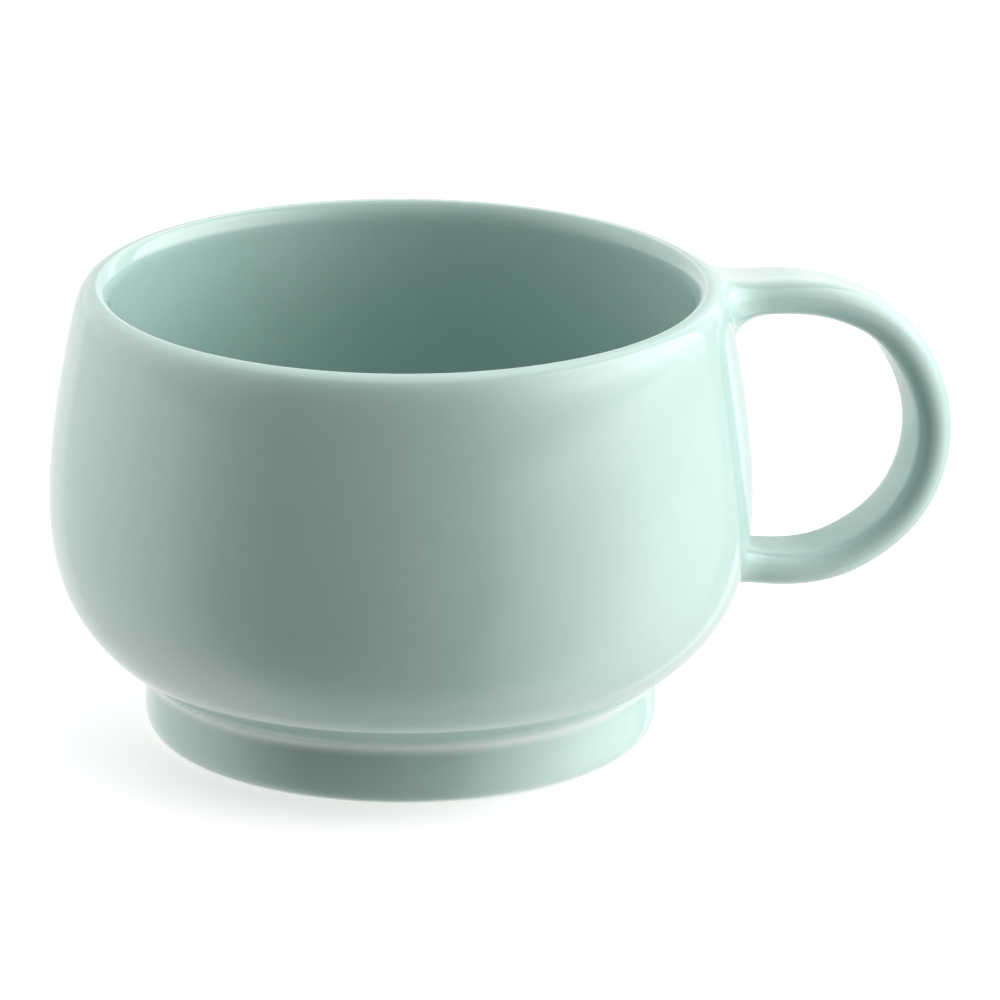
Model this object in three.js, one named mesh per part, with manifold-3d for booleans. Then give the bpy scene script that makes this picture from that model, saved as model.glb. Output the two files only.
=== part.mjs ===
// Espresso cup in glazed ceramic: round-bellied bowl, foot ring and loop handle,
// joined to the bowl with slip. Millimetres, +Z up. The cup stands on z = 0, the
// handle points along +X, and the origin is under the middle of the overall length.
import * as THREE from 'three';
import { mergeVertices } from 'three/addons/utils/BufferGeometryUtils.js';
import Module from 'manifold-3d';

// ---------------------------------------------------------------- dimensions
const RIM_HEIGHT = 45.5;          // crest of the lip above the table
const BELLY_RADIUS = 35.0;        // widest radius of the bowl
const BELLY_HEIGHT = 23.6;        // height of that widest circle
const LIP_CREST_RADIUS = 30.4;    // circle along the top of the lip
const HANDLE_REACH = 57.4;        // cup axis to the outermost point of the handle
const AXIS_X = -(HANDLE_REACH - BELLY_RADIUS) / 2;   // cup axis in the part's frame

const JOINT_PLANE = 6.0;          // flat ring under the bowl where the foot is stuck on
const FOOT_TOP = 5.4;             // top of the foot ring
const FOOT_INNER = 21.6;          // inner radius of the foot ring
const FOOT_WAIST = 25.35;         // outer radius at the top of the foot ring
const FOOT_MAX = 25.65;           // widest outer radius of the foot ring
const REST_INNER = 22.4;          // flat band that touches the table
const REST_OUTER = 24.2;
const ROUND_STEPS = 56;           // facets around the cup axis

const STRAP_THICK = 3.66;         // handle section, in the plane of the loop
const STRAP_WIDE = 7.24;          // handle section, across the loop
const STRAP_INNER_EDGE = 1.2;     // edge radius on the finger side
const STRAP_OUTER_EDGE = 1.6;     // edge radius on the outside
const TOP_LINE = 41.6;            // handle centreline at its upper end
const BOTTOM_LINE = 13.4;         // handle centreline at its lower end
const UPPER_END = 35.2;           // radius at which the handle's upper end stops
const LOWER_END = 36.0;           // radius at which the handle's lower end stops
const BEND_X = 55.57;             // outermost radius of the handle centreline
const BEND_Z = 26.1;              // and its height
const SAG_X = 42.9;               // lowest point of the centreline
const SAG_Z = 12.88;
const HANDLE_STEPS = 40;

const JOINT_CLEARANCE = 0.3;      // dry film between slip and bowl wall
const UPPER_FLARE = 1.75;         // how far the upper slip joint spreads on the bowl
const LOWER_FLARE = 1.25;         // and the lower one

// Bowl section as radius, height: underside, belly, lip, inner wall, floor.
const BELLY_FOOT = [25.04, JOINT_PLANE];
const BELLY_FIRST = [26.70, 7.0];
const OUTSIDE = [
  BELLY_FOOT, BELLY_FIRST, [28.15, 8.0], [29.38, 9.0], [30.42, 10.0], [31.28, 11.0],
  [32.02, 12.0], [32.65, 13.0], [33.40, 14.5], [33.97, 16.0], [34.49, 18.0],
  [34.80, 20.0], [BELLY_RADIUS, BELLY_HEIGHT], [34.88, 27.0], [34.61, 30.0],
  [34.22, 33.0], [33.74, 36.0], [33.19, 39.0], [32.80, 41.0], [32.31, 43.0],
];
const LIP = [
  [31.98, 44.0], [31.56, 44.75], [31.02, 45.27], [LIP_CREST_RADIUS, RIM_HEIGHT],
  [29.92, 45.28], [29.66, 44.8], [29.60, 44.1],
];
const INSIDE = [
  [29.84, 43.0], [30.34, 41.0], [30.94, 38.0], [31.47, 35.0], [31.94, 32.0],
  [32.39, 28.0], [32.60, 24.0], [32.39, 20.0], [31.98, 18.0], [31.17, 16.0],
  [29.94, 14.0], [28.12, 12.0], [25.9, 10.5], [22.6, 9.6], [17.0, 9.25], [0, 9.1],
];
const UNDERSIDE = [[0, 6.7], [12.0, 6.6], [18.5, 6.4], [21.0, JOINT_PLANE]];

// ------------------------------------------------------------------- helpers
const wasm = await Module();
wasm.setup();

const glaze = (hex) => new THREE.MeshStandardMaterial({ color: hex, roughness: 0.14, metalness: 0 });

// Solid of revolution about the cup axis from a list of [radius, height].
function turned(profile) {
  const g = new THREE.LatheGeometry(profile.map(([r, h]) => new THREE.Vector2(r, h)), ROUND_STEPS);
  g.rotateX(Math.PI / 2);
  return g;
}

// Position-only copy of a closed geometry with shared corners and no empty triangles.
function welded(geometry) {
  const g = geometry.index ? geometry.clone() : mergeVertices(geometry.clone());
  g.deleteAttribute('normal');
  g.deleteAttribute('uv');
  const m = mergeVertices(g, 1e-4);
  const id = m.index.array;
  const keep = [];
  for (let i = 0; i < id.length; i += 3) {
    const [a, b, c] = [id[i], id[i + 1], id[i + 2]];
    if (a !== b && b !== c && c !== a) keep.push(a, b, c);
  }
  m.setIndex(keep);
  return m;
}

function toSolid(geometry) {
  const m = welded(geometry);
  return new wasm.Manifold(new wasm.Mesh({
    numProp: 3,
    vertProperties: new Float32Array(m.attributes.position.array),
    triVerts: new Uint32Array(m.index.array),
  }));
}

function toGeometry(solid) {
  const m = solid.getMesh();
  const g = new THREE.BufferGeometry();
  g.setAttribute('position', new THREE.BufferAttribute(new Float32Array(m.vertProperties), 3));
  g.setIndex(new THREE.BufferAttribute(new Uint32Array(m.triVerts), 1));
  g.computeVertexNormals();
  return g;
}

// Handle section: x runs from the outside of the loop to the finger side, y across it.
function strapSection() {
  const t = STRAP_THICK / 2, w = STRAP_WIDE / 2, i = STRAP_INNER_EDGE, o = STRAP_OUTER_EDGE;
  const s = new THREE.Shape();
  s.moveTo(-t + o, -w);
  s.lineTo(t - i, -w);
  s.absarc(t - i, -w + i, i, -Math.PI / 2, 0, false);
  s.lineTo(t, w - i);
  s.absarc(t - i, w - i, i, 0, Math.PI / 2, false);
  s.lineTo(-t + o, w);
  s.absarc(-t + o, w - o, o, Math.PI / 2, Math.PI, false);
  s.lineTo(-t, -w + o);
  s.absarc(-t + o, -w + o, o, Math.PI, 1.5 * Math.PI, false);
  return s;
}

// Slip collar: the handle's own section at `start`, spreading towards the bowl.
function flaredCollar(start, height, length, flare) {
  const g = new THREE.ExtrudeGeometry(strapSection(), {
    depth: length, steps: 5, bevelEnabled: false, curveSegments: 3,
  });
  const p = g.attributes.position;
  for (let k = 0; k < p.count; k++) {
    const f = flare * Math.pow(p.getZ(k) / length, 2);
    p.setX(k, p.getX(k) * (1 + f / (STRAP_THICK / 2)));
    p.setY(k, p.getY(k) * (1 + f / (STRAP_WIDE / 2)));
  }
  g.rotateY(-Math.PI / 2);
  g.translate(start, 0, height);
  return g;
}

// ---------------------------------------------------------------------- bowl
const bowlGeometry = turned([...UNDERSIDE, ...OUTSIDE, ...LIP, ...INSIDE]);

// Filled outline of the bowl, a film larger than the bowl, that trims the collars.
const trimmer = toSolid(turned([
  [0, 3.0], [24.0, 3.0],
  ...OUTSIDE.map(([r, h]) => [r + JOINT_CLEARANCE * 1.15, h]),
  ...LIP.slice(0, 4).map(([r, h]) => [r + JOINT_CLEARANCE * 0.8, h + JOINT_CLEARANCE * 0.8]),
  [0, RIM_HEIGHT + JOINT_CLEARANCE],
]));

// ---------------------------------------------------------------------- foot
const footGeometry = turned([
  [FOOT_INNER, FOOT_TOP], [FOOT_INNER + 0.05, 1.3], [21.8, 0.55], [22.05, 0.15], [REST_INNER, 0],
  [REST_OUTER, 0], [24.75, 0.12], [25.25, 0.48], [25.55, 1.1], [FOOT_MAX, 1.9],
  [25.62, 2.6], [25.45, 4.2], [FOOT_WAIST, FOOT_TOP], [FOOT_INNER, FOOT_TOP],
]);

// Slip layer between foot ring and bowl, with the bead wiped into the corner.
const footLuteGeometry = turned([
  [FOOT_INNER, FOOT_TOP], [FOOT_WAIST, FOOT_TOP], [25.43, 5.8], [25.69, 6.2], [26.12, 6.58],
  BELLY_FIRST, BELLY_FOOT, [FOOT_INNER, JOINT_PLANE], [FOOT_INNER, FOOT_TOP],
]);

// -------------------------------------------------------------------- handle
const v = (x, z) => new THREE.Vector3(x, 0, z);
const loop = new THREE.CurvePath();
loop.add(new THREE.LineCurve3(v(UPPER_END, TOP_LINE), v(37.0, TOP_LINE)));
loop.add(new THREE.CubicBezierCurve3(v(37.0, TOP_LINE), v(48.2, TOP_LINE), v(BEND_X, 35.2), v(BEND_X, BEND_Z)));
loop.add(new THREE.CubicBezierCurve3(v(BEND_X, BEND_Z), v(BEND_X, 18.0), v(50.2, SAG_Z), v(SAG_X, SAG_Z)));
loop.add(new THREE.CubicBezierCurve3(v(SAG_X, SAG_Z), v(40.9, SAG_Z), v(39.2, BOTTOM_LINE), v(37.2, BOTTOM_LINE)));
loop.add(new THREE.LineCurve3(v(37.2, BOTTOM_LINE), v(LOWER_END, BOTTOM_LINE)));
const handleGeometry = new THREE.ExtrudeGeometry(strapSection(), {
  steps: HANDLE_STEPS, curveSegments: 3, extrudePath: loop,
});

// -------------------------------------------------------------- slip collars
const upperLute = toSolid(flaredCollar(UPPER_END, TOP_LINE, 4.6, UPPER_FLARE)).subtract(trimmer);
const lowerLute = toSolid(flaredCollar(LOWER_END, BOTTOM_LINE, 6.0, LOWER_FLARE)).subtract(trimmer);

// ------------------------------------------------------------------ assembly
const cup = new THREE.Group();
cup.position.x = AXIS_X;
function place(name, geometry, colour) {
  const mesh = new THREE.Mesh(geometry, glaze(colour));
  mesh.name = name;
  cup.add(mesh);
}
place('cup_bowl', bowlGeometry, 0xb7d2ca);
place('foot_ring', footGeometry, 0xb4cfc7);
place('foot_lute', footLuteGeometry, 0xbad4cc);
place('handle', handleGeometry, 0xb7d2ca);
place('upper_handle_lute', toGeometry(upperLute), 0xbad4cc);
place('lower_handle_lute', toGeometry(lowerLute), 0xbad4cc);

export default cup;
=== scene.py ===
# Espresso cup in pale green glaze: fine surfaces, glaze, studio floor, light and camera.
# Lengths below are millimetres about the cup's own axis; meshes are written in metres.
import math
import bpy
import numpy as np
from mathutils import Matrix


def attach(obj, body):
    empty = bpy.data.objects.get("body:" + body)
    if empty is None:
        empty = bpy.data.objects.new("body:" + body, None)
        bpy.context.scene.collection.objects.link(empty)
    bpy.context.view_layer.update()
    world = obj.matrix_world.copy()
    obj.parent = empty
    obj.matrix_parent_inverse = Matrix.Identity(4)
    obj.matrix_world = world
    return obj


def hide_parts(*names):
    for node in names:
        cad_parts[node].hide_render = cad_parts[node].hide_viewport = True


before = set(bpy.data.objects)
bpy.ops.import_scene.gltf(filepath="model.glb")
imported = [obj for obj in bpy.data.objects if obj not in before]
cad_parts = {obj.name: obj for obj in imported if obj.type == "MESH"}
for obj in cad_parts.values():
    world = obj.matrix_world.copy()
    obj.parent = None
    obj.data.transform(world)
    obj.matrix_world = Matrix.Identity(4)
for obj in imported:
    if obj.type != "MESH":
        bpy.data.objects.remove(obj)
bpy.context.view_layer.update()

MM = 0.001
AXIS_X = -11.2            # the cup's axis in the model's frame
TURN = math.radians(17.0)  # the handle points this far away from the camera's right
ROUND = 360               # steps around the cup's axis


# ------------------------------------------------------------------ curve tools
def bspline(ctrl, per_span=60):
    """Clamped uniform cubic B-spline through its control polygon."""
    c = np.asarray(ctrl, float)
    n, p = len(c), 3
    knots = np.concatenate([np.zeros(p), np.arange(n - p + 1), np.full(p, n - p)]).astype(float)
    u = np.linspace(0, n - p, (n - p) * per_span + 1)
    out = np.zeros((len(u), c.shape[1]))
    for i, x in enumerate(u):
        k = min(max(int(np.searchsorted(knots, x, side="right")) - 1, p), n - 1)
        d = [c[j + k - p].copy() for j in range(p + 1)]
        for r in range(1, p + 1):
            for j in range(p, r - 1, -1):
                a0, a1 = knots[j + k - p], knots[j + 1 + k - r]
                t = (x - a0) / (a1 - a0) if a1 > a0 else 0.0
                d[j] = (1 - t) * d[j - 1] + t * d[j]
        out[i] = d[p]
    return out


def bezier(a, b, c, d, n=80):
    t = np.linspace(0, 1, n)[:, None]
    a, b, c, d = (np.asarray(q, float) for q in (a, b, c, d))
    return (1 - t) ** 3 * a + 3 * t * (1 - t) ** 2 * b + 3 * t * t * (1 - t) * c + t ** 3 * d


def chain(*parts):
    out = [np.asarray(parts[0], float)]
    for p in parts[1:]:
        p = np.asarray(p, float)
        out.append(p[1:] if np.allclose(p[0], out[-1][-1], atol=1e-6) else p)
    return np.vstack(out)


def lengths(poly):
    return np.concatenate([[0], np.cumsum(np.linalg.norm(np.diff(poly, axis=0), axis=1))])


def even(poly, step):
    s = lengths(poly)
    n = max(2, int(round(s[-1] / step)) + 1)
    q = np.linspace(0, s[-1], n)
    return np.stack([np.interp(q, s, poly[:, i]) for i in range(poly.shape[1])], 1)


def soften(poly, sigma, step=0.02, closed=False):
    """Gaussian smoothing along the curve; open curves keep their ends and end directions."""
    p = even(poly, step)
    h = int(4 * sigma / step)
    w = np.exp(-0.5 * (np.arange(-h, h + 1) * step / sigma) ** 2)
    w /= w.sum()
    if closed:
        body = p[:-1]
        pad = np.vstack([body[-h:], body, body[:h]])
    else:
        h = min(h, len(p) - 1)
        w = w[len(w) // 2 - h: len(w) // 2 + h + 1] / w[len(w) // 2 - h: len(w) // 2 + h + 1].sum()
        pad = np.vstack([2 * p[0] - p[h:0:-1], p, 2 * p[-1] - p[-2:-h - 2:-1]])
    q = np.stack([np.convolve(pad[:, i], w, mode="valid") for i in range(p.shape[1])], 1)
    return np.vstack([q, q[:1]]) if closed else q


def normals2(poly, closed=False):
    """Unit normals on the right-hand side of the direction of travel."""
    if closed:
        d = np.roll(poly[:-1], -1, 0) - np.roll(poly[:-1], 1, 0)
        d = np.vstack([d, d[:1]])
    else:
        d = np.gradient(poly, axis=0)
    d /= np.linalg.norm(d, axis=1)[:, None]
    return np.stack([d[:, 1], -d[:, 0]], 1)


def thin_out(poly, turn=3.5, longest=1.3, shortest=0.05):
    """Indices of a dense curve kept so that no step turns or runs further than asked."""
    n = normals2(poly)
    keep, last = [0], 0
    s = lengths(poly)
    for i in range(1, len(poly) - 1):
        bend = math.degrees(math.acos(max(-1.0, min(1.0, float(n[i] @ n[last])))))
        run = s[i] - s[last]
        if run >= longest or (bend >= turn and run >= shortest):
            keep.append(i)
            last = i
    keep.append(len(poly) - 1)
    return np.array(keep)


def bump_at(s, centre, width):
    return np.exp(-0.5 * ((s - centre) / width) ** 2)


def nearest(poly, point):
    return int(np.argmin(np.linalg.norm(poly - np.asarray(point, float), axis=1)))


# ------------------------------------------------------------------ mesh tools
def build(name, verts, faces, loop_normals, values=None):
    """Closed smooth mesh with its own corner normals and named per-corner-point numbers."""
    v = np.asarray(verts, float)
    v = v * MM
    v[:, 0] += AXIS_X * MM
    me = bpy.data.meshes.new(name)
    me.from_pydata(v.tolist(), [], [list(f) for f in faces])
    for attr, data in (values or {}).items():
        a = me.attributes.new(attr, "FLOAT", "POINT")
        a.data.foreach_set("value", np.asarray(data, np.float32))
    me.polygons.foreach_set("use_smooth", np.ones(len(me.polygons), bool))
    me.normals_split_custom_set([tuple(map(float, n)) for n in loop_normals])
    me.update()
    ob = bpy.data.objects.new(name, me)
    bpy.context.scene.collection.objects.link(ob)
    return ob


def lathe(name, pts, seg_n, values, closed):
    """Turned solid. pts run counter-clockwise in the radius-height plane; seg_n[k] holds the
    normals at both ends of step k."""
    pts = np.asarray(pts, float)
    ang = np.linspace(0, 2 * math.pi, ROUND, endpoint=False)
    ca, sa = np.cos(ang), np.sin(ang)
    verts, first, vals = [], [], {k: [] for k in values}
    for k, (r, z) in enumerate(pts):
        first.append(len(verts))
        ring = 1 if r < 1e-6 else ROUND
        if ring == 1:
            verts.append((0.0, 0.0, z))
        else:
            verts.extend(zip(r * ca, r * sa, np.full(ROUND, z)))
        for name_, data in values.items():
            vals[name_].extend([data[k]] * ring)
    faces, loops = [], []
    steps = len(pts) if closed else len(pts) - 1
    for k in range(steps):
        q = (k + 1) % len(pts)
        n0, n1 = seg_n[k]
        on0, on1 = pts[k][0] < 1e-6, pts[q][0] < 1e-6
        for i in range(ROUND):
            j = (i + 1) % ROUND
            d = lambda n, m: (n[0] * ca[m], n[0] * sa[m], n[1])
            if on0:
                faces.append((first[k], first[q] + j, first[q] + i))
                loops += [(0, 0, math.copysign(1, n0[1])), d(n1, j), d(n1, i)]
            elif on1:
                faces.append((first[k] + i, first[k] + j, first[q]))
                loops += [d(n0, i), d(n0, j), (0, 0, math.copysign(1, n1[1]))]
            else:
                faces.append((first[k] + i, first[k] + j, first[q] + j, first[q] + i))
                loops += [d(n0, i), d(n0, j), d(n1, j), d(n1, i)]
    return build(name, verts, faces, loops, vals)


def smooth_steps(normals):
    return [(normals[k], normals[k + 1]) for k in range(len(normals) - 1)]


def flat_step(a, b):
    d = np.asarray(b, float) - np.asarray(a, float)
    d /= max(np.linalg.norm(d), 1e-9)
    n = (d[1], -d[0])
    return (n, n)


def tube(name, rings, ring_n, values, cap_in=True, cap_out=True, back_centre=None):
    """Closed skin over rings of points (rings x points x 3) with given normals."""
    rings, ring_n = np.asarray(rings, float), np.asarray(ring_n, float)
    R, P, _ = rings.shape
    verts = rings.reshape(-1, 3).tolist()
    faces, loops = [], []
    for k in range(R - 1):
        for j in range(P):
            m = (j + 1) % P
            faces.append((k * P + j, k * P + m, (k + 1) * P + m, (k + 1) * P + j))
            loops += [ring_n[k, j], ring_n[k, m], ring_n[k + 1, m], ring_n[k + 1, j]]
    vals = {k: list(np.asarray(v, float).reshape(-1)) for k, v in values.items()}
    for end, here in ((0, cap_in), (R - 1, cap_out)):
        if not here:
            continue
        mid = rings[end].mean(0) if not (end and back_centre is not None) else np.asarray(back_centre, float)
        c = len(verts)
        verts.append(mid.tolist())
        for v in vals.values():
            v.append(v[end * P])
        inward = rings[1].mean(0) - rings[0].mean(0) if end == 0 else rings[R - 2].mean(0) - rings[R - 1].mean(0)
        n = -inward / np.linalg.norm(inward)
        for j in range(P):
            m = (j + 1) % P
            f = (end * P + m, end * P + j, c) if end == 0 else (end * P + j, end * P + m, c)
            faces.append(f)
            loops += [n, n, n]
    v = np.asarray(verts)
    volume = sum(float(np.dot(v[f[0]], np.cross(v[f[i]], v[f[i + 1]]))) for f in faces for i in range(1, len(f) - 1))
    if volume < 0:
        turned, k = [], 0
        out = []
        for f in faces:
            out += loops[k:k + len(f)][::-1]
            k += len(f)
            turned.append(tuple(reversed(f)))
        faces, loops = turned, out
    return build(name, verts, faces, loops, vals)


# --------------------------------------------------------------- bowl's section
OUT_CTRL = [(24.72, 5.82), (28.55, 7.96), (31.83, 11.24), (34.08, 15.52), (35.10, 20.96),
            (34.97, 27.07), (34.27, 33.09), (33.23, 38.94), (32.08, 44.61), (30.79, 45.26),
            (30.20, 45.48), (30.06, 45.52), (29.98, 45.42), (29.90, 45.01)]
belly = bspline(OUT_CTRL)
belly = belly[: int(np.argmax(belly[:, 1] > 42.5))]
belly = belly[int(np.argmax(belly[:, 1] >= 5.95)):]
t_up = belly[-1] - belly[-4]
t_up /= np.linalg.norm(t_up)
CREST = np.array([30.04, 45.48])
lip_out = bezier(belly[-1], belly[-1] + 2.5 * t_up, CREST + (1.2, 0.0), CREST)
# inside of the lip: how far its surface looks up, in degrees, on the way down from the crest
LEAN = np.array([(0.0, 90), (0.25, 52), (0.6, 42), (1.1, 30.5), (1.7, 17.6), (2.4, 0.6), (3.0, -6), (3.6, -7)])
lean = np.radians(np.interp(np.arange(0.01, 3.6, 0.02), LEAN[:, 0], LEAN[:, 1]))
lip_in = CREST + np.vstack([(0, 0), np.cumsum(-0.02 * np.stack([np.sin(lean), np.cos(lean)], 1), axis=0)])
wall_in = np.array([
    lip_in[-1], (29.14, 41.0), (29.50, 38.5), (30.05, 35.5), (30.68, 32.5), (31.30, 29.5),
    (31.85, 26.5), (32.18, 24.0), (32.25, 20.5), (31.90, 18.0), (31.17, 16.0), (29.94, 14.0),
    (28.12, 12.0), (25.9, 10.5), (22.6, 9.6), (17.0, 9.25), (9.0, 9.12), (0.0, 9.1)])
wall_in = soften(wall_in, 1.3)
wall_in[-1] = (0.0, wall_in[-1][1])
bowl_out = chain(belly, lip_out)
shape = soften(chain(belly, lip_out, lip_in, wall_in), 0.10)
shape[-1, 0] = 0.0
shape_n = normals2(shape)
shape_n[-1] = (0.0, 1.0)
shape_s = lengths(shape)
s_crest = shape_s[int(np.argmax(shape[:, 1]))]
lip_edge = s_crest + 0.10          # glaze runs thin over the inner edge of the lip

keep = thin_out(shape, turn=2.4, longest=0.9)
under = soften(np.array([(0, 6.7), (12.0, 6.6), (18.5, 6.4), (20.4, 6.12), (21.0, 6.05)]), 0.8)
under[0, 0] = 0.0
under_n = normals2(under)
under_n[0] = (0.0, -1.0)
keep_u = thin_out(under, longest=2.0)

pts = list(under[keep_u]) + [np.array([25.02, 6.0])] + list(shape[keep][1:])
pts[len(keep_u)] = shape[keep][0]
steps = smooth_steps(under_n[keep_u]) + [flat_step(under[-1], shape[keep][0])] + smooth_steps(shape_n[keep])
s_all = np.concatenate([np.full(len(keep_u), -50.0), shape_s[keep]])
thin_glaze_and_painted_light = 0.42 * bump_at(s_all, lip_edge, 0.10)
bowl = lathe("bowl_glazed", pts, steps, {"thin_glaze_and_painted_light": thin_glaze_and_painted_light, "bare": np.zeros(len(pts))}, closed=False)


def on_bowl(s):
    """Radius, height, normal and upward direction on the outside of the bowl at length s."""
    r, z = np.interp(s, shape_s, shape[:, 0]), np.interp(s, shape_s, shape[:, 1])
    n = np.array([np.interp(s, shape_s, shape_n[:, 0]), np.interp(s, shape_s, shape_n[:, 1])])
    n /= np.linalg.norm(n)
    return r, z, n, np.array([-n[1], n[0]])


# ------------------------------------------------------------------------- foot
foot_wall = np.array([(21.6, 5.4), (21.62, 3.0), (21.66, 1.5), (21.78, 0.72), (22.0, 0.26),
                      (22.34, 0.03), (22.6, 0.0), (24.0, 0.0), (24.45, 0.03), (24.92, 0.2),
                      (25.28, 0.55), (25.52, 1.1), (25.62, 1.75), (25.64, 2.4), (25.58, 3.4),
                      (25.48, 4.2), (25.40, 4.75)])
foot = soften(foot_wall, 0.12)
foot[:, 1] = np.maximum(foot[:, 1], 0.0)
foot_n = normals2(foot)
kf = thin_out(foot, turn=5.0, longest=0.9)
foot_s = lengths(foot)
s_edge = foot_s[nearest(foot, (25.3, 0.55))]
fp = foot[kf]
bare = np.array([1.0 if z < 0.035 and 22.2 < r < 24.55 else 0.0 for r, z in fp])
foot_thin = 0.55 * bump_at(foot_s[kf], s_edge - 0.35, 0.26) + 0.6 * bump_at(foot_s[kf], foot_s[nearest(foot, (21.9, 0.4))], 0.4)
foot_ob = lathe("foot_ring_glazed", fp, smooth_steps(foot_n[kf]) + [flat_step(fp[-1], fp[0])],
                {"thin_glaze_and_painted_light": foot_thin, "bare": bare}, closed=True)

# slip bead between foot and bowl, wiped to a small hollow outside and inside
i_b = int(np.argmax(belly[:, 0] > 26.95))
B = belly[i_b]
t_b = belly[i_b + 1] - belly[i_b - 1]
t_b /= np.linalg.norm(t_b)
n_b = np.array([t_b[1], -t_b[0]])
out_fillet = bezier(foot[-1], foot[-1] + np.array([-0.10, 0.99]) * 1.25, B - t_b * 1.15, B + 0.008 * n_b, 30)
E = under[-1] + (under[-30] - under[-1]) * 0.0
E = np.array([20.5, float(np.interp(20.5, under[:, 0], under[:, 1]))])
in_fillet = bezier(E, E + np.array([0.62, -0.06]), np.array([21.6, 5.62 + 0.2]), (21.6, 5.4), 16)
fo_n, fi_n = normals2(out_fillet), normals2(in_fillet)
fo_n[0], fo_n[-1] = foot_n[-1], n_b
# its edge runs out flat under the belly's skin
rim = B + 0.35 * t_b - 0.04 * n_b
back = [rim - 0.5 * n_b, np.array([25.0, 6.4]), np.array([21.0, 6.4])]
lp = list(out_fillet) + [rim] + back + list(in_fillet)
ls = smooth_steps(fo_n) + [(n_b, n_b)]
hidden = [rim] + back + [in_fillet[0]]
ls += [flat_step(hidden[i], hidden[i + 1]) for i in range(len(hidden) - 1)]
ls += smooth_steps(fi_n) + [flat_step(in_fillet[-1], out_fillet[0])]
# the outer hollow of the slip bead is painted paler towards its middle: painted fill light against the shade in the
# hollow
painted_fill_light = np.zeros(len(lp))
painted_fill_light[:len(out_fillet)] = 0.52 * np.sin(np.linspace(0, math.pi, len(out_fillet))) ** 2
foot_lute = lathe("foot_slip_glazed", lp, ls, {"thin_glaze_and_painted_light": painted_fill_light, "bare": np.zeros(len(lp))}, closed=True)

# ----------------------------------------------------------------------- handle
HANDLE_CTRL = [(29.646, 41.33), (39.703, 42.153), (46.867, 40.155), (51.561, 36.886),
               (54.891, 31.293), (56.01, 25.434), (54.3, 18.828), (48.851, 13.912),
               (41.408, 11.855), (32.316, 14.493)]
line = even(bspline(HANDLE_CTRL), 0.02)
top_half = np.arange(len(line)) < len(line) // 2
i0 = int(np.argmax(line[:, 0] >= 37.6))
i1 = len(line) - 1 - int(np.argmax(line[::-1, 0] >= 37.4))
line_t = np.gradient(line, axis=0)
line_t /= np.linalg.norm(line_t, axis=1)[:, None]
line_n = np.stack([-line_t[:, 1], line_t[:, 0]], 1)   # to the outside of the loop


def strap(thick=3.46, wide=7.30, inner=1.42, outer=1.66, crown=0.12, ridge=0.32):
    """Section of the strap: first number to the outside of the loop, second across it."""
    t, w = thick / 2, wide / 2

    def corner(ca, cc, ra, a0, a1):
        q = np.radians(np.linspace(a0, a1, 24))
        return np.stack([ca + ra * np.cos(q), cc + ra * np.sin(q)], 1)
    p = np.vstack([corner(t - outer, w - outer, outer, 0, 90), corner(-t + inner, w - inner, inner, 90, 180),
                   corner(-t + inner, -w + inner, inner, 180, 270), corner(t - outer, -w + outer, outer, 270, 360)])
    p = even(np.vstack([p, p[:1]]), 0.02)
    p[:, 0] += np.where(p[:, 0] > 0, ridge, -crown) * (1 - (p[:, 1] / w) ** 2) * (np.abs(p[:, 0]) / t) ** 2
    p[:, 1] += crown * np.sign(p[:, 1]) * (1 - (p[:, 0] / t) ** 2) * (np.abs(p[:, 1]) / w) ** 2
    return soften(p, 0.34, closed=True)


sec = strap()
SEC_N = 80
sec_s = lengths(sec)
q = np.linspace(0, sec_s[-1], SEC_N, endpoint=False)
sn = normals2(sec, closed=True)
sec_p = np.stack([np.interp(q, sec_s, sec[:, i]) for i in (0, 1)], 1)
sec_n = np.stack([np.interp(q, sec_s, sn[:, i]) for i in (0, 1)], 1)
sec_n /= np.linalg.norm(sec_n, axis=1)[:, None]
if np.mean(np.sum(sec_n * sec_p, axis=1)) < 0:
    sec_n = -sec_n


def section_at(i):
    c, n = line[i], line_n[i]
    p = np.stack([c[0] + sec_p[:, 0] * n[0], sec_p[:, 1], c[1] + sec_p[:, 0] * n[1]], 1)
    m = np.stack([sec_n[:, 0] * n[0], sec_n[:, 1], sec_n[:, 0] * n[1]], 1)
    return p, m


stations = np.unique(np.round(np.linspace(i0, i1, 150)).astype(int))
rings, ring_n = zip(*(section_at(i) for i in stations))
# the top of the loop is painted paler: a painted highlight where light from above falls on it
painted_top_highlight = 0.42 * np.clip((sec_n[:, 0] - 0.80) / 0.19, 0, 1) ** 1.3
handle = tube("handle_glazed", rings, ring_n,
              {"thin_glaze_and_painted_light": np.clip(line_n[stations, 1], 0, 1)[:, None] ** 2 * painted_top_highlight, "bare": np.zeros((len(stations), SEC_N))})


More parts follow.
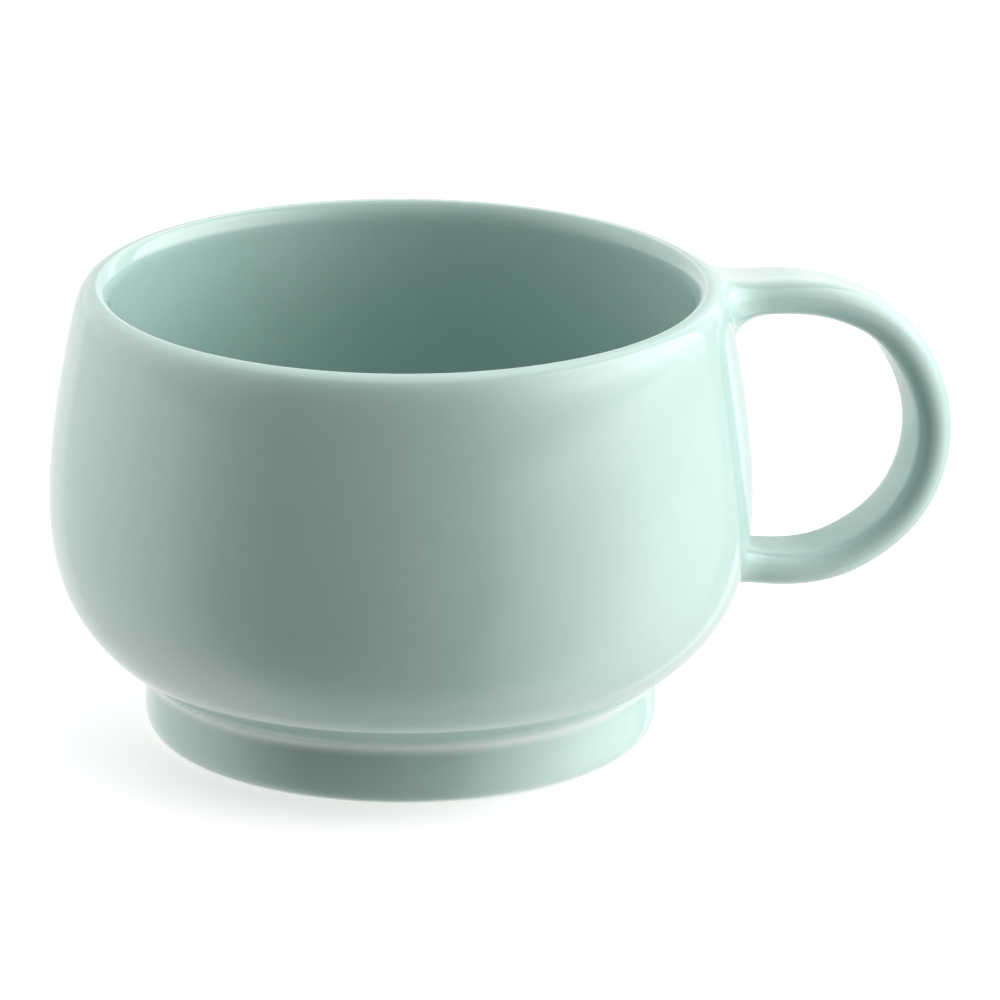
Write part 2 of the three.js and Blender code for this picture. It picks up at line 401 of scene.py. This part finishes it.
def root(name, i_end, way, up, side, down, reach=0.60, grip=0.62, tight=0.0, count=36):
    """Slip joint between one end of the handle and the bowl, spread out along the bowl's wall."""
    c, t, n = line[i_end], line_t[i_end] * way, line_n[i_end]
    start, start_n = section_at(i_end)
    # where the handle's line would meet the wall
    k = np.arange(0, 8, 0.01)
    ray = c + k[:, None] * t
    wall = np.interp(ray[:, 1], bowl_out[:, 1], bowl_out[:, 0])
    hit = ray[int(np.argmax(ray[:, 0] <= wall))]
    s_mid = shape_s[nearest(shape[: int(np.argmax(shape[:, 1]))], hit)]
    sky = 1.0 if n[1] > 0 else -1.0
    foot_p, foot_nrm, foot_dir, spread, top = [], [], [], [], []
    for (a, w), (na, nw) in zip(sec_p, sec_n):
        lift, aside = na * sky, nw
        f = side * aside ** 2 + (up if lift > 0 else down) * lift ** 2
        s = s_mid + (a * sky + f * lift)
        r, z, nn, tt = on_bowl(s)
        phi = (w + f * aside) / r
        cp, sp = math.cos(phi), math.sin(phi)
        lift_r, lift_z = 0.012 * nn[0], 0.012 * nn[1]
        foot_p.append(((r + lift_r) * cp, (r + lift_r) * sp, z + lift_z))
        foot_nrm.append((nn[0] * cp, nn[0] * sp, nn[1]))
        d = lift * np.array([tt[0] * cp, tt[0] * sp, tt[1]]) + aside * np.array([-sp, cp, 0.0])
        foot_dir.append(d / np.linalg.norm(d))
        spread.append(f)
        top.append(max(lift, 0.0) ** 2)
    foot_p, foot_nrm, foot_dir, spread, top = (np.array(x) for x in (foot_p, foot_nrm, foot_dir, spread, top))
    lead = np.array([t[0], 0.0, t[1]])
    depth = np.sum((foot_p - start) * lead, axis=1)
    b0, b1 = start, start + lead * ((reach + tight * top) * depth)[:, None]
    b2, b3 = foot_p - foot_dir * ((grip + tight * top) * spread)[:, None], foot_p
    u = np.linspace(0, 1, count) ** 0.9
    rings = np.array([(1 - x) ** 3 * b0 + 3 * x * (1 - x) ** 2 * b1 + 3 * x * x * (1 - x) * b2 + x ** 3 * b3 for x in u])
    du = np.array([(1 - x) ** 2 * (b1 - b0) + 2 * x * (1 - x) * (b2 - b1) + x * x * (b3 - b2) for x in u])
    dv = np.roll(rings, -1, 1) - np.roll(rings, 1, 1)
    nrm = np.cross(du, dv)
    nrm /= np.linalg.norm(nrm, axis=2)[:, :, None]
    if np.sum(nrm[3] * start_n) < 0:
        nrm = -nrm
    nrm[0], nrm[-1] = start_n, foot_nrm
    skirt = foot_p + foot_dir * 0.40 - foot_nrm * 0.045
    rings = np.concatenate([rings, skirt[None]])
    nrm = np.concatenate([nrm, foot_nrm[None]])
    r, z, nn, _ = on_bowl(s_mid)
    # the painted highlight on the top of the loop runs on into the upper slip root and fades out towards the bowl
    root_painted_highlight = max(n[1], 0.0) ** 2 * np.tile(painted_top_highlight, (len(rings), 1)) * np.append(1 - np.linspace(0, 1, count) ** 2, 0.0)[:, None]
    return tube(name, rings, nrm, {"thin_glaze_and_painted_light": root_painted_highlight, "bare": root_painted_highlight * 0}, back_centre=(r - 0.5 * nn[0], 0.0, z - 0.5 * nn[1]))


upper = root("upper_handle_slip_glazed", i0, -1, up=2.2, side=3.4, down=3.9, tight=0.22)
lower = root("lower_handle_slip_glazed", i1, 1, up=3.0, side=2.6, down=2.4)


# -------------------------------------------------------------------- materials
class Nodes:
    def __init__(self, mat):
        mat.use_nodes = True
        self.t = mat.node_tree
        self.t.nodes.clear()

    def add(self, kind, **sets):
        n = self.t.nodes.new(kind)
        for k, v in sets.items():
            setattr(n, k, v)
        return n

    def link(self, a, b):
        self.t.links.new(a, b)


def glaze(name, deep, pale, body=(0.82, 0.88, 0.83, 1), ripple=0.000010):
    mat = bpy.data.materials.new(name)
    g = Nodes(mat)
    out = g.add("ShaderNodeOutputMaterial")
    sh = g.add("ShaderNodeBsdfPrincipled")
    g.link(sh.outputs["BSDF"], out.inputs["Surface"])
    sh.inputs["IOR"].default_value = 1.50
    sh.inputs["Coat Weight"].default_value = 0.0
    tc = g.add("ShaderNodeTexCoord")

    def noise(scale, detail, rough=0.5):
        n = g.add("ShaderNodeTexNoise")
        n.inputs["Scale"].default_value = scale
        n.inputs["Detail"].default_value = detail
        n.inputs["Roughness"].default_value = rough
        g.link(tc.outputs["Object"], n.inputs["Vector"])
        return n.outputs["Fac"]

    def ramp(fac, a, b, va=0.0, vb=1.0):
        m = g.add("ShaderNodeMapRange", clamp=True)
        for key, x in zip(("From Min", "From Max", "To Min", "To Max"), (a, b, va, vb)):
            m.inputs[key].default_value = x
        g.link(fac, m.inputs["Value"])
        return m.outputs["Result"]

    def mix(fac, a, b, kind="MIX"):
        m = g.add("ShaderNodeMix", data_type="RGBA", blend_type=kind)
        g.link(fac, m.inputs["Factor"])
        for socket, x in ((m.inputs[6], a), (m.inputs[7], b)):
            if isinstance(x, tuple):
                socket.default_value = x
            else:
                g.link(x, socket)
        return m.outputs[2]

    # cloudy depth of the glaze, a finer mottle and sparse pinholes
    colour = mix(ramp(noise(38, 3), 0.33, 0.67), deep, pale)
    fine = ramp(noise(620, 2), 0.35, 0.65, 0.0, 0.10)
    colour = mix(fine, colour, tuple(c * 0.86 for c in deep[:3]) + (1,))
    cells = g.add("ShaderNodeTexVoronoi", feature="F1")
    cells.inputs["Scale"].default_value = 300
    g.link(tc.outputs["Object"], cells.inputs["Vector"])
    pick = g.add("ShaderNodeSeparateColor")
    g.link(cells.outputs["Color"], pick.inputs["Color"])
    rare = ramp(pick.outputs["Red"], 0.968, 0.975)
    dot = ramp(cells.outputs["Distance"], 0.030, 0.055, 1.0, 0.0)
    both = g.add("ShaderNodeMath", operation="MULTIPLY")
    g.link(rare, both.inputs[0])
    g.link(dot, both.inputs[1])
    speck = ramp(both.outputs[0], 0.0, 1.0, 0.0, 0.55)
    colour = mix(speck, colour, (0.16, 0.19, 0.16, 1))
    # the glaze breaks to a warm pale line where it runs thin over an edge (lip and foot); the same pale mix also
    # paints light: a painted highlight on top of the handle loop and its upper root, and painted fill light in the
    # slip hollow at the foot
    glaze_break_and_light_attr = g.add("ShaderNodeAttribute", attribute_name="thin_glaze_and_painted_light")
    wander = g.add("ShaderNodeMath", operation="MULTIPLY")
    g.link(glaze_break_and_light_attr.outputs["Fac"], wander.inputs[0])
    g.link(ramp(noise(260, 2), 0.25, 0.7, 0.72, 1.05), wander.inputs[1])
    colour = mix(wander.outputs[0], colour, body)
    # bare biscuit where the foot was wiped clean
    bare = g.add("ShaderNodeAttribute", attribute_name="bare")
    grain = mix(ramp(noise(1900, 3), 0.3, 0.7), (0.70, 0.66, 0.57, 1), (0.60, 0.55, 0.46, 1))
    colour = mix(bare.outputs["Fac"], colour, grain)
    g.link(colour, sh.inputs["Base Color"])
    gloss = ramp(noise(75, 3), 0.3, 0.7, 0.045, 0.085)
    dull = g.add("ShaderNodeMix", data_type="FLOAT")
    g.link(bare.outputs["Fac"], dull.inputs["Factor"])
    g.link(gloss, dull.inputs[2])
    dull.inputs[3].default_value = 0.75
    g.link(dull.outputs[0], sh.inputs["Roughness"])
    # slight ripple of the fired glaze
    wave = g.add("ShaderNodeMath", operation="ADD")
    g.link(noise(190, 1), wave.inputs[0])
    g.link(ramp(noise(620, 1), 0, 1, 0, 0.16), wave.inputs[1])
    pit = g.add("ShaderNodeMath", operation="SUBTRACT")
    g.link(wave.outputs[0], pit.inputs[0])
    g.link(ramp(both.outputs[0], 0, 1, 0, 0.6), pit.inputs[1])
    bump = g.add("ShaderNodeBump")
    bump.inputs["Strength"].default_value = 1.0
    bump.inputs["Distance"].default_value = ripple
    g.link(pit.outputs[0], bump.inputs["Height"])
    g.link(bump.outputs["Normal"], sh.inputs["Normal"])
    return mat


CELADON = glaze("celadon_glaze", (0.378, 0.522, 0.496, 1), (0.412, 0.556, 0.530, 1))
FOOT = glaze("foot_glaze", (0.378, 0.522, 0.496, 1), (0.412, 0.556, 0.530, 1))
SLIP = glaze("slip_glaze", (0.378, 0.522, 0.496, 1), (0.412, 0.556, 0.530, 1), ripple=0.000002)

for ob, node, mat, slot in (
        (bowl, "cup_bowl", CELADON, "celadon_glaze"),
        (foot_ob, "foot_ring", FOOT, "foot_glaze"),
        (foot_lute, "foot_lute", SLIP, "slip_glaze"),
        (handle, "handle", CELADON, "celadon_glaze"),
        (upper, "upper_handle_lute", SLIP, "slip_glaze"),
        (lower, "lower_handle_lute", SLIP, "slip_glaze")):
    ob.data.materials.append(mat)
    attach(ob, "root")
    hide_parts(node)


# ------------------------------------------------------------------------ studio
def world_point(x, y, z):
    """From the camera's own layout (x right, y away, about the cup's axis) to the model's frame, metres."""
    c, s = math.cos(TURN), math.sin(TURN)
    return np.array([x * c + y * s + AXIS_X * MM, -x * s + y * c, z])


me = bpy.data.meshes.new("floor")
me.from_pydata([(-6, -6, 0), (6, -6, 0), (6, 6, 0), (-6, 6, 0)], [], [(0, 1, 2, 3)])
floor = bpy.data.objects.new("floor", me)
floor.location.z = -0.00002
bpy.context.scene.collection.objects.link(floor)
mat = bpy.data.materials.new("floor_white")
g = Nodes(mat)
o, s_ = g.add("ShaderNodeOutputMaterial"), g.add("ShaderNodeBsdfPrincipled")
s_.inputs["Base Color"].default_value = (0.70, 0.70, 0.69, 1)
s_.inputs["Roughness"].default_value = 0.6
s_.inputs["Emission Color"].default_value = (1, 1, 0.99, 1)
s_.inputs["Emission Strength"].default_value = 0.45
g.link(s_.outputs["BSDF"], o.inputs["Surface"])
me.materials.append(mat)


def light_levels(nodes, value, stops, top):
    """Light level along one number from 0 to 1, straight between the stops."""
    r = nodes.add("ShaderNodeValToRGB")
    r.color_ramp.interpolation = "LINEAR"
    e = r.color_ramp.elements
    grey = lambda level: (level / top,) * 3 + (1,)
    e[0].position, e[0].color = stops[0][0], grey(stops[0][1])
    e[1].position, e[1].color = stops[-1][0], grey(stops[-1][1])
    for place, level in stops[1:-1]:
        e.new(place).color = grey(level)
    nodes.link(value, r.inputs["Fac"])
    return r.outputs["Color"]


world = bpy.data.worlds.new("studio")
bpy.context.scene.world = world
w = Nodes(world)
w_out, w_bg = w.add("ShaderNodeOutputWorld"), w.add("ShaderNodeBackground")
w_dir = w.add("ShaderNodeTexCoord")
w_rot = w.add("ShaderNodeVectorRotate", rotation_type="Z_AXIS")
w_rot.inputs["Angle"].default_value = TURN
w.link(w_dir.outputs["Generated"], w_rot.inputs["Vector"])
w_xyz = w.add("ShaderNodeSeparateXYZ")
w.link(w_rot.outputs[0], w_xyz.inputs[0])


def w_math(op, a, b=None, c=None):
    n = w.add("ShaderNodeMath", operation=op)
    for socket, x in zip(n.inputs, (a, b, c)):
        if x is None:
            continue
        if isinstance(x, (int, float)):
            socket.default_value = x
        else:
            w.link(x, socket)
    return n.outputs[0]


def w_range(x, a, b):
    n = w.add("ShaderNodeMapRange", interpolation_type="LINEAR")
    n.inputs["From Min"].default_value, n.inputs["From Max"].default_value = a, b
    w.link(x, n.inputs["Value"])
    return n.outputs["Result"]


turn_ = w_math("ARCTAN2", w_xyz.outputs["X"], w_math("MULTIPLY", w_xyz.outputs["Y"], -1.0))
az = w_math("MULTIPLY", turn_, 180 / math.pi)        # 0 towards the camera, 90 to the right
el = w_math("MULTIPLY", w_math("ARCSINE", w_xyz.outputs["Z"]), 180 / math.pi)
around = w_math("MULTIPLY_ADD", az, 1 / 360.0, 0.5)
TOP_LEVEL = 6.0


def w_band(*stops):
    """Light level all round at one height, as degrees and level."""
    return w_math("MULTIPLY", light_levels(w, around, [(0.5 + a / 360.0, v) for a, v in stops], TOP_LEVEL), TOP_LEVEL)


def w_mix(fac, a, b):
    n = w.add("ShaderNodeMix", data_type="FLOAT")
    w.link(fac, n.inputs["Factor"])
    for socket, x in ((n.inputs[2], a), (n.inputs[3], b)):
        if isinstance(x, (int, float)):
            socket.default_value = x
        else:
            w.link(x, socket)
    return n.outputs[0]


# The room all round, at each height above level: a wide weak box on the left, white sweep and table
# behind and below with a narrow strip of light at the back right, nothing in front.
ROOM = (
    (-60, ((-180, 1.43), (-160, 1.2), (-140, 0.96), (-120, 1.24), (-100, 1.5), (-80, 1.33), (-60, 0.75), (-40, 0.35), (0, 0.0),
           (28, 0.1), (40, 0.5), (55, 1.2), (70, 1.85), (85, 2.1), (100, 1.95), (115, 1.76), (130, 1.52), (145, 1.42), (180, 1.43))),
    (-40, ((-180, 1.08), (-160, 0.99), (-140, 1.1), (-120, 1.36), (-100, 1.62), (-80, 1.34), (-60, 0.55), (-42, 0.0), (22, 0.0),
           (35, 0.8), (55, 1.5), (70, 2.17), (85, 2.47), (100, 2.09), (115, 1.58), (129, 1.35), (131, 1.15), (145, 1.12),
           (146.5, 1.4), (153, 1.4), (154.5, 1.1), (180, 1.08))),
    (-20, ((-180, 0.98), (-160, 1.1), (-143, 1.24), (-141, 1.08), (-120, 1.28), (-100, 1.66), (-80, 1.66), (-60, 0.62),
           (-42, 0.0), (28, 0.0), (37, 1.05), (55, 1.9), (70, 2.35), (85, 2.5), (100, 2.02), (115, 1.3), (129, 0.95),
           (131, 0.65), (145, 0.62), (146.5, 1.15), (153, 1.15), (154.5, 0.8), (180, 0.98))),
    (0, ((-180, 0.91), (-160, 1.06), (-143, 1.4), (-141, 1.15), (-120, 1.6), (-100, 1.93), (-80, 1.9), (-60, 0.86),
         (-42, 0.0), (28, 0.0), (37, 1.0), (55, 1.95), (70, 2.35), (85, 2.5), (100, 2.1), (115, 1.3), (129, 0.85),
         (131, 0.55), (145, 0.5), (146.5, 1.2), (153, 1.2), (154.5, 0.7), (180, 0.91))),
    (2, ((-180, 0.79), (-160, 1.37), (-143, 1.65), (-141, 1.45), (-120, 1.7), (-100, 1.88), (-80, 1.33), (-60, 0.65),
         (-42, 0.0), (40, 0.0), (131, 0.85), (145, 0.8), (146.5, 1.5), (153, 1.5), (154.5, 0.9), (180, 0.79))),
    (20, ((-180, 0.5), (-160, 1.19), (-143, 1.6), (-141, 1.45), (-120, 1.85), (-100, 2.28), (-80, 1.8), (-60, 1.0),
          (-42, 0.0), (40, 0.0), (131, 1.2), (145, 1.4), (146.5, 2.3), (153, 2.3), (154.5, 1.3), (180, 0.55))),
    (40, ((-180, 0.74), (-160, 1.13), (-140, 1.66), (-120, 2.02), (-100, 2.25), (-80, 1.6), (-60, 0.9), (-42, 0.1), (-35, 0.0),
          (40, 0.0), (75, 0.5), (110, 1.4), (132, 1.65), (145, 2.2), (160, 1.7), (180, 0.8))),
    (60, ((-180, 1.08), (-160, 1.2), (-140, 1.5), (-120, 1.7), (-100, 1.57), (-80, 1.1), (-60, 0.6), (-42, 0.2), (-20, 0.0), (40, 0.0),
          (75, 0.5), (110, 1.6), (132, 1.8), (145, 1.9), (160, 1.5), (180, 1.08))))
level = w_band(*ROOM[0][1])
for (lower_el, _), (upper_el, stops) in zip(ROOM, ROOM[1:]):
    level = w_mix(w_range(el, lower_el, upper_el), level, w_band(*stops))
level = w_mix(w_range(el, 60.0, 80.0), level, 1.5)
level = w_mix(w_range(el, -60.0, -80.0), level, 0.6)

# A large soft box on the right, standing at table height: straight top edge and rear edge, fading to the front.
w_top = w.add("ShaderNodeVectorMath", operation="DOT_PRODUCT")
w.link(w_rot.outputs[0], w_top.inputs[0])
w_top.inputs[1].default_value = (1.52 * math.sin(math.radians(72)), -1.52 * math.cos(math.radians(72)), -1.0)
inside = w_math("MULTIPLY", w_range(w_top.outputs["Value"], 0.0, 0.05), w_range(el, -5.0, 14.0))
inside = w_math("MULTIPLY", inside, w_math("MULTIPLY", w_range(az, 22.0, 38.0), w_range(az, 130.6, 129.4)))
box = w_band((-180, 0.0), (22, 0.6), (30, 0.8), (45, 1.9), (60, 3.5), (75, 4.8), (95, 5.4), (112, 5.0), (131, 3.8), (180, 3.5))
high = w_band((-180, 0.0), (22, 0.5), (30, 0.65), (45, 1.1), (60, 2.2), (75, 3.45), (95, 4.85), (112, 4.7), (131, 3.7), (180, 3.0))
box = w_mix(w_range(el, 18.0, 42.0), box, high)
level = w_mix(inside, level, box)
w.link(level, w_bg.inputs["Strength"])
w_bg.inputs["Color"].default_value = (1.0, 0.992, 0.970, 1)

# Behind the floor's far edge the camera sees plain white.
w_white = w.add("ShaderNodeBackground")
w_white.inputs["Color"].default_value, w_white.inputs["Strength"].default_value = (1, 1, 1, 1), 1.0
w_seen, w_path = w.add("ShaderNodeMixShader"), w.add("ShaderNodeLightPath")
w.link(w_path.outputs["Is Camera Ray"], w_seen.inputs[0])
w.link(w_bg.outputs[0], w_seen.inputs[1])
w.link(w_white.outputs[0], w_seen.inputs[2])
w.link(w_seen.outputs[0], w_out.inputs["Surface"])

# The floor is seen and takes the cup's shadow; its own bounce is already in the light above.
floor.visible_diffuse = floor.visible_glossy = floor.visible_shadow = floor.visible_transmission = False

# ------------------------------------------------------------------------ camera
PITCH, ROLL = math.radians(18.411), math.radians(-0.434)
cam = bpy.data.cameras.new("camera")
cam.sensor_width = 36.0
cam.sensor_fit = "HORIZONTAL"
cam.lens = 6871.1 / 1000 * 36.0
cam.clip_start, cam.clip_end = 0.05, 50
cam_ob = bpy.data.objects.new("camera", cam)
spot = world_point(0.00983, -0.64918, 0.2391)
turn = lambda v: world_point(*v) - world_point(0, 0, 0)
right = turn((1, 0, 0))
up = turn((0, math.sin(PITCH), math.cos(PITCH)))
fwd = turn((0, math.cos(PITCH), -math.sin(PITCH)))
cr, sr = math.cos(ROLL), math.sin(ROLL)
m = np.eye(4)
m[:3, 0], m[:3, 1], m[:3, 2], m[:3, 3] = right * cr - up * sr, right * sr + up * cr, -fwd, spot
cam_ob.matrix_world = Matrix(m.tolist())
bpy.context.scene.collection.objects.link(cam_ob)
bpy.context.scene.camera = cam_ob
bpy.context.scene.view_settings.view_transform = "Standard"

bpy.context.view_layer.update()
